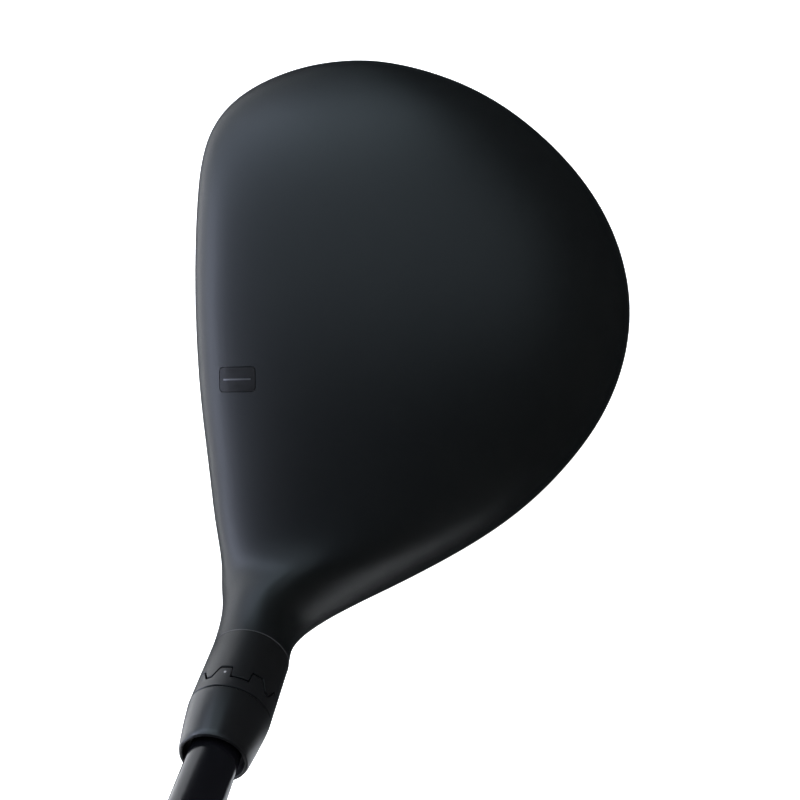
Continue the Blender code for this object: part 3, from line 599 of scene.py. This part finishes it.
def make_hosel(materials):
    edge = 0.12
    tube = [
        (BORE_RADIUS, TUBE_START, 0),
        (HOSEL_RADIUS - edge, TUBE_START, 0),
        (HOSEL_RADIUS, TUBE_START + edge, 0),
        (HOSEL_RADIUS, HOSEL_TOP - edge, 1),
        (HOSEL_RADIUS - edge, HOSEL_TOP, 1),
        (BORE_RADIUS, HOSEL_TOP, 1),
    ]
    add("hosel_tube", toothed("hosel_tube", tube, math.radians(1.0)), materials["tube"], "head", (),
        sharp=30)
    # A thin ring just proud of the hosel tube, where the painted neck meets it. The ridge is real; its
    # lighter colour is a painted highlight for the light line the ridge shows.
    line = [
        (BORE_RADIUS + 0.4, TUBE_START - 0.1),
        (HOSEL_RADIUS + 0.015, TUBE_START - 0.1),
        (HOSEL_RADIUS + 0.015, TUBE_START + 0.06),
        (BORE_RADIUS + 0.4, TUBE_START + 0.06),
    ]
    add("hosel_edge", turned("hosel_edge", line, 240, loop=True), materials["rim"], "head", ())

    thread, bore = 2.6, SHAFT_TIP_RADIUS + 0.05
    sleeve = [
        (thread, SLEEVE_BOTTOM, 0),
        (SLEEVE_RADIUS - 0.6, SLEEVE_BOTTOM, 0),
        (SLEEVE_RADIUS, SLEEVE_BOTTOM + 0.6, 0),
        (SLEEVE_RADIUS, FLANGE_UNDER, 1),
        (HOSEL_RADIUS - edge, FLANGE_UNDER, 1),
        (HOSEL_RADIUS, FLANGE_UNDER + edge, 1),
        (HOSEL_RADIUS, FLANGE_TOP - edge, 0),
        (HOSEL_RADIUS - edge, FLANGE_TOP, 0),
        (bore, FLANGE_TOP, 0),
        (bore, SHAFT_TIP, 0),
        (thread, SHAFT_TIP, 0),
    ]
    add("sleeve", toothed("sleeve", sleeve), materials["sleeve"], "shaft_unit", ("adapter_sleeve",),
        sharp=30)

    dot_angle = TOOTH_PHASE + math.pi
    dot_place = (AXIS_FRAME @ Matrix.Rotation(dot_angle, 4, "Z")
                 @ Matrix.Translation((HOSEL_RADIUS - 0.05, 0, FLANGE_UNDER - 0.9))
                 @ Matrix.Rotation(math.pi / 2, 4, "Y"))
    dot = [(0, 0), (0.22, 0), (0.22, 0.07), (0.17, 0.09), (0, 0.09)]
    add("index_dot", turned("index_dot", dot, 32, place=dot_place), materials["dot"], "shaft_unit", ())

    bottom = FLANGE_TOP + 0.2
    shoulder = FERRULE_TOP - 0.55
    profile = [(bore + 0.02, bottom), (HOSEL_RADIUS - 0.1, bottom), (HOSEL_RADIUS, bottom + 0.1)]
    for t in np.linspace(0.08, 1, 14):
        radius = HOSEL_RADIUS + (FERRULE_TOP_RADIUS - HOSEL_RADIUS) * t**FERRULE_CURVE
        profile.append((radius, bottom + (shoulder - bottom) * t))
    recess = FERRULE_TOP_RADIUS - 0.75
    profile += [
        (FERRULE_TOP_RADIUS - 0.2, FERRULE_TOP - 0.12),
        (FERRULE_TOP_RADIUS - 0.4, FERRULE_TOP),
        (recess + 0.1, FERRULE_TOP),
        (recess, FERRULE_TOP - 0.1),
        (recess - 0.2, FERRULE_TOP - 1.4),
        (bore + 0.02, FERRULE_TOP - 1.4),
    ]
    add("ferrule_cone", turned("ferrule_cone", profile, 180, loop=True), materials["ferrule"],
        "shaft_unit", ("ferrule",), sharp=30)


def make_hosel_screw(materials):
    screw = [(0, 13.5), (3.6, 13.5), (3.95, 13.65), (4.1, 14.0), (4.1, 17.5), (2.3, 17.5), (2.3, 29.5),
             (1.8, 30.0), (0, 30.0)]
    body = turned("hosel_bolt", screw, 96)
    body = carve(body, hexagon("hosel_socket", 4.0, 12.0, 16.1, AXIS_FRAME))
    add("hosel_bolt", body, materials["steel"], "hosel_screw", ("hosel_screw",))


# ---- Shaft and grip -----------------------------------------------------------------------------
def shaft_radius(height):
    low, high = SHAFT_TAPER
    share = min(max((height - low) / (high - low), 0.0), 1.0)
    return SHAFT_TIP_RADIUS + (SHAFT_BUTT_RADIUS - SHAFT_TIP_RADIUS) * share


def make_shaft(materials):
    heights = [SHAFT_TIP, *np.linspace(SHAFT_TAPER[0], SHAFT_TAPER[1], 80), SHAFT_BUTT]
    profile = [(shaft_radius(h), h) for h in heights]
    profile += [(r - SHAFT_WALL, h) for r, h in reversed(profile)]
    add("shaft_tube", turned("shaft_tube", profile, 144, loop=True), materials["shaft"], "shaft_unit",
        ("shaft",))


def grip_radius(height):
    share = (height - GRIP_MOUTH) / (GRIP_END - GRIP_MOUTH)
    lip = min(max((height - GRIP_MOUTH) / GRIP_LIP_HEIGHT, 0.0), 1.0)
    full = GRIP_MOUTH_RADIUS + (GRIP_END_RADIUS - GRIP_MOUTH_RADIUS) * share
    return full - (1 - lip) ** 2 * GRIP_LIP_DEPTH


def make_grip(materials):
    """The grip, its surface pressed with a diamond pattern between plain bands."""
    sides, steps = 192, 520
    turns = np.arange(sides) * 2 * math.pi / sides
    heights = np.linspace(GRIP_MOUTH, GRIP_END, steps)
    rings = []
    for height in heights:
        along = (height - GRIP_MOUTH) / GROOVE_TWIST
        lattice = np.minimum(np.abs(np.sin(4 * turns + along)), np.abs(np.sin(4 * turns - along)))
        groove = np.clip(1 - lattice / GROOVE_WIDTH, 0, 1)
        band = math.sin((height - GRIP_MOUTH) / BAND_LENGTH * math.pi) ** 2
        plain_end = min(1.0, (height - GRIP_MOUTH) / MOUTH_PLAIN, (GRIP_END - height) / END_PLAIN)
        amount = GROOVE_DEPTH * max(0.0, plain_end) * (1.0 if band > BAND_SHARE else 0.0)
        radius = grip_radius(height) - amount * groove
        rings.append(np.stack([radius * np.cos(turns), radius * np.sin(turns),
                               np.full(sides, height)], axis=1))
    for height in (GRIP_END, GRIP_MOUTH):
        rings.append(ring(shaft_radius(height) + 0.45, height, sides))
    add("grip_sleeve", moved(skin_mesh("grip_sleeve", rings, loop=True), AXIS_FRAME),
        materials["rubber"], "shaft_unit", ("grip",), sharp=60)

    bottom = GRIP_END + 0.1
    cap = [(1.6, bottom), (GRIP_END_RADIUS, bottom), (CAP_RADIUS - 0.1, bottom + 0.5)]
    for t in np.linspace(0, math.pi / 2, 10):
        radius = CAP_RADIUS - CAP_ROUNDING * (1 - math.cos(t))
        cap.append((radius, CLUB_LENGTH - CAP_ROUNDING * (1 - math.sin(t))))
    cap += [(9.0, CLUB_LENGTH), (8.8, CLUB_LENGTH - 0.3), (8.0, CLUB_LENGTH - 0.3), (7.8, CLUB_LENGTH),
            (2.0, CLUB_LENGTH), (1.6, CLUB_LENGTH - 0.4)]
    add("grip_end", turned("grip_end", cap, loop=True), materials["rubber"], "shaft_unit",
        ("grip_cap",))


def keep_node(name, material):
    """A CAD node that stays as it is, with a procedural finish."""
    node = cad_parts[name]
    node.data.materials.clear()
    node.data.materials.append(material)


# ---- Studio -------------------------------------------------------------------------------------
FLOOR_DROP = 0.0006
CARD_DROP = 0.0004
ROOM_REACH = 6.0
BEND = 0.6  # radius of the bend between the floor and the backdrop
FLOOR_GLOW = 0.95
HEEL_GLOW = 0.16

# Each card is a rectangle on the floor: lowest and highest X, lowest and highest Y, in metres.
FACE_CARD = (-0.35, 0.9, -1.0, -0.09)
HEEL_CARD = (0.10, 0.20, -0.02, 0.06)

# Soft boxes: name, place and target (m), width and height (m), watts, colour.
HEAD_MIDDLE = (0.0, 0.0, 0.03)
SOFT_BOXES = [
    ("face_side", (0.08, -1.00, 0.40), HEAD_MIDDLE, (1.2, 0.35), 9.5, (0.72, 0.79, 1.0)),
    ("face_corner", (-0.75, -0.75, 0.45), HEAD_MIDDLE, (0.8, 0.4), 3.6, (0.68, 0.80, 1.0)),
    ("toe_side", (-0.95, -0.20, 0.60), HEAD_MIDDLE, (0.7, 0.5), 2.2, (0.70, 0.88, 1.0)),
    ("toe_top", (-0.50, 0.0, 1.0), (-0.50, 0.0, 0.0), (0.9, 1.6), 3.4, (0.72, 0.88, 1.0)),
]

# The viewpoint over the head, in mm, and the directions to its right and towards the viewer.
CAMERA_PLACE = (25.708, 23.883, 193.788)
CAMERA_RIGHT = (-0.00782, 0.98879, -0.14913)
CAMERA_BACK = (0.05175, 0.14933, 0.98743)


def soft_box(name, location, target, size, watts, colour):
    data = bpy.data.lights.new(name, "AREA")
    data.shape = "RECTANGLE"
    data.size, data.size_y = size
    data.energy = watts
    data.color = colour
    lamp = bpy.data.objects.new(name, data)
    bpy.context.scene.collection.objects.link(lamp)
    lamp.location = location
    lamp.rotation_mode = "QUATERNION"
    lamp.rotation_quaternion = (Vector(target) - Vector(location)).to_track_quat("-Z", "Y")


def card_mesh(name, area):
    """A sheet that lies just above the floor."""
    left, right, near, far = area
    bm = bmesh.new()
    corners = ((left, far), (right, far), (right, near), (left, near))
    bm.faces.new([bm.verts.new((x, y, -CARD_DROP)) for x, y in corners])
    bmesh.ops.subdivide_edges(bm, edges=bm.edges, cuts=3, use_grid_fill=True)
    bmesh.ops.recalc_face_normals(bm, faces=bm.faces)
    mesh = bpy.data.meshes.new(name)
    bm.to_mesh(mesh)
    bm.free()
    return mesh


def glow(material, strength):
    shader = material.node_tree.nodes["Principled BSDF"]
    shader.inputs["Emission Color"].default_value = (1, 1, 1, 1)
    shader.inputs["Emission Strength"].default_value = strength


def make_world():
    scene = bpy.context.scene
    world = bpy.data.worlds.new("studio")
    world.use_nodes = True
    background = world.node_tree.nodes["Background"]
    background.inputs["Color"].default_value = (0.78, 0.90, 1.0, 1.0)
    background.inputs["Strength"].default_value = 0.02
    scene.world = world
    scene.view_settings.view_transform = "Standard"


def make_floor(material):
    """A floor that bends up into a round backdrop. It is left out of reflections, so that the paint
    mirrors only the soft boxes and the cards."""
    flat = [ring(ROOM_REACH * t / MM, 0.0, 96) for t in (0.25, 0.5)]
    start = ROOM_REACH * 0.9
    bend = [ring((start + BEND * math.sin(t)) / MM, BEND * (1 - math.cos(t)) / MM, 96)
            for t in np.linspace(0, math.pi / 2, 8)]
    wall = [ring((start + BEND) / MM, z / MM, 96) for z in (1.5, 3.0, 6.0)]
    floor = add("floor", open_skin("floor", [[(0, 0, 0)]] + flat + bend + wall), material)
    floor.location.z = -FLOOR_DROP
    floor.visible_glossy = False


def make_studio(materials):
    """A glowing floor and backdrop, a card that the face side of the club mirrors, a dim card that
    only reflections see, beside the heel, and soft boxes on the face and toe sides."""
    make_world()
    glow(materials["floor"], FLOOR_GLOW)
    glow(materials["heel_card"], HEEL_GLOW)
    make_floor(materials["floor"])
    add("face_card", card_mesh("face_card", FACE_CARD), materials["floor"])

    heel_card = add("heel_card", card_mesh("heel_card", HEEL_CARD), materials["heel_card"])
    heel_card.visible_camera = False
    heel_card.visible_diffuse = False
    heel_card.visible_shadow = False

    for box in SOFT_BOXES:
        soft_box(*box)


def make_camera():
    data = bpy.data.cameras.new("camera")
    camera = bpy.data.objects.new("camera", data)
    bpy.context.scene.collection.objects.link(camera)
    data.sensor_width = 36.0
    data.lens = 39.15
    data.clip_start = 0.005
    data.clip_end = 50.0
    right = Vector(CAMERA_RIGHT).normalized()
    back = Vector(CAMERA_BACK)
    back = (back - right * back.dot(right)).normalized()
    up = back.cross(right)
    turn = Matrix((right, up, back)).transposed().to_4x4()
    camera.matrix_world = Matrix.Translation(Vector(CAMERA_PLACE) * MM) @ turn
    bpy.context.scene.camera = camera


MATERIALS = make_materials()
make_head(MATERIALS)
make_hosel(MATERIALS)
make_hosel_screw(MATERIALS)
make_shaft(MATERIALS)
make_grip(MATERIALS)
for node_name, key in (("tip_plug", "nylon"), ("grip_tape", "tape"), ("screw_washer", "steel"),
                       ("screw_retainer", "nylon"), ("bridge_weight", "tungsten"),
                       ("front_weight_nut", "steel"), ("rear_weight_nut", "steel")):
    keep_node(node_name, MATERIALS[key])
make_studio(MATERIALS)
make_camera()
